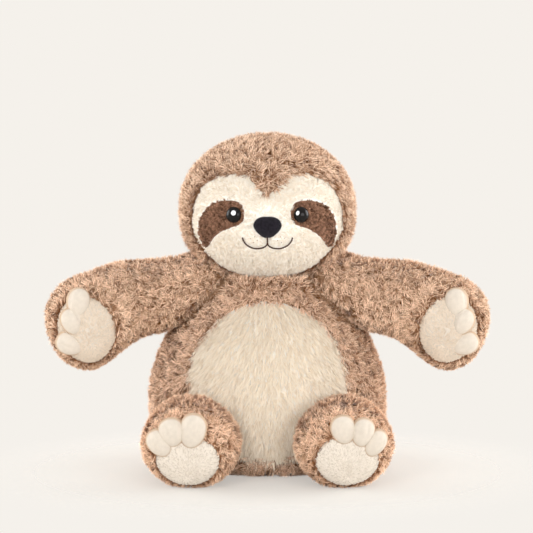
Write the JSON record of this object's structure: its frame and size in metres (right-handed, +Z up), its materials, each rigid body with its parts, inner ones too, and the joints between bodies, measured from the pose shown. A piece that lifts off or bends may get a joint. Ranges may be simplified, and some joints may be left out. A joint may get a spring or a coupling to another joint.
{
  "type": "seated plush sloth",
  "caption": "Seated plush sloth soft toy with a cream face and belly, spread arms with soft claws, and ball-rooted limbs and head that turn at their seams.",
  "frame": {"origin": "centre of the flat underside of the body, on the surface the toy sits on", "axes": "+X to the toy's own left side, -Y the way it faces, +Z up"},
  "size_m": [0.3606, 0.1935, 0.278],
  "materials": {
    "brown_plush": "long curly pile",
    "cream_plush": "short brushed pile",
    "belly_plush": "longer brushed pile",
    "cream_velour": "fine velour",
    "dark_plush": "very short pile",
    "nose_thread": "satin stitched",
    "filling": "loose fibre",
    "pouch_cloth": "plain weave",
    "seam_thread": "sewn thread",
    "eye_plastic": "gloss",
    "washer_plastic": "matt"
  },
  "bodies": {
    "torso": {"torso_skin": "brown_plush", "belly_panel": "belly_plush", "torso_stuffing": "filling", "seat_bean_pouch": "pouch_cloth"},
    "neck": {"neck_seam": "seam_thread"},
    "head": {"head_skin": "brown_plush", "face_panel": "cream_plush", "head_stuffing": "filling", "nose": "nose_thread", "eye_patch_left": "dark_plush", "eye_left": "eye_plastic", "eye_washer_left": "washer_plastic", "eye_patch_right": "dark_plush", "eye_right": "eye_plastic", "eye_washer_right": "washer_plastic"},
    "shoulder_left": {"shoulder_seam_left": "seam_thread"},
    "arm_left": {"arm_left_skin": "brown_plush", "arm_left_stuffing": "filling", "palm_pad_left": "cream_velour", "finger_left_1": "cream_velour", "finger_left_2": "cream_velour", "finger_left_3": "cream_velour"},
    "hip_left": {"hip_seam_left": "seam_thread"},
    "leg_left": {"leg_left_skin": "brown_plush", "leg_left_stuffing": "filling", "sole_pad_left": "cream_velour", "toe_left_1": "cream_velour", "toe_left_2": "cream_velour", "toe_left_3": "cream_velour"},
    "shoulder_right": {"shoulder_seam_right": "seam_thread"},
    "arm_right": {"arm_right_skin": "brown_plush", "arm_right_stuffing": "filling", "palm_pad_right": "cream_velour", "finger_right_1": "cream_velour", "finger_right_2": "cream_velour", "finger_right_3": "cream_velour"},
    "hip_right": {"hip_seam_right": "seam_thread"},
    "leg_right": {"leg_right_skin": "brown_plush", "leg_right_stuffing": "filling", "sole_pad_right": "cream_velour", "toe_right_1": "cream_velour", "toe_right_2": "cream_velour", "toe_right_3": "cream_velour"}
  },
  "joints": [
    {"name": "neck_turn", "type": "hinge", "parent": "torso", "child": "neck", "pos_m": [0, -0.002, 0.217], "axis": [0, 0, 1], "range_deg": [-30, 30]},
    {"name": "neck_nod", "type": "hinge", "parent": "neck", "child": "head", "pos_m": [0, -0.002, 0.217], "axis": [1, 0, 0], "range_deg": [-8, 10]},
    {"name": "arm_left_swing", "type": "hinge", "parent": "torso", "child": "shoulder_left", "pos_m": [0.05318, -0.006, 0.151], "axis": [0, 0, -1], "range_deg": [-12, 28]},
    {"name": "arm_left_lift", "type": "hinge", "parent": "shoulder_left", "child": "arm_left", "pos_m": [0.05318, -0.006, 0.151], "axis": [0, -1, 0], "range_deg": [-10, 18]},
    {"name": "leg_left_spread", "type": "hinge", "parent": "torso", "child": "hip_left", "pos_m": [0.06, -0.05454, 0.036], "axis": [0, 0, 1], "range_deg": [-5, 14]},
    {"name": "leg_left_lift", "type": "hinge", "parent": "hip_left", "child": "leg_left", "pos_m": [0.06, -0.05454, 0.036], "axis": [-1, 0, 0], "range_deg": [0, 25]},
    {"name": "arm_right_swing", "type": "hinge", "parent": "torso", "child": "shoulder_right", "pos_m": [-0.05318, -0.006, 0.151], "axis": [0, 0, 1], "range_deg": [-12, 28]},
    {"name": "arm_right_lift", "type": "hinge", "parent": "shoulder_right", "child": "arm_right", "pos_m": [-0.05318, -0.006, 0.151], "axis": [0, 1, 0], "range_deg": [-10, 18]},
    {"name": "leg_right_spread", "type": "hinge", "parent": "torso", "child": "hip_right", "pos_m": [-0.06, -0.05454, 0.036], "axis": [0, 0, -1], "range_deg": [-5, 14]},
    {"name": "leg_right_lift", "type": "hinge", "parent": "hip_right", "child": "leg_right", "pos_m": [-0.06, -0.05454, 0.036], "axis": [-1, 0, 0], "range_deg": [0, 25]}
  ]
}
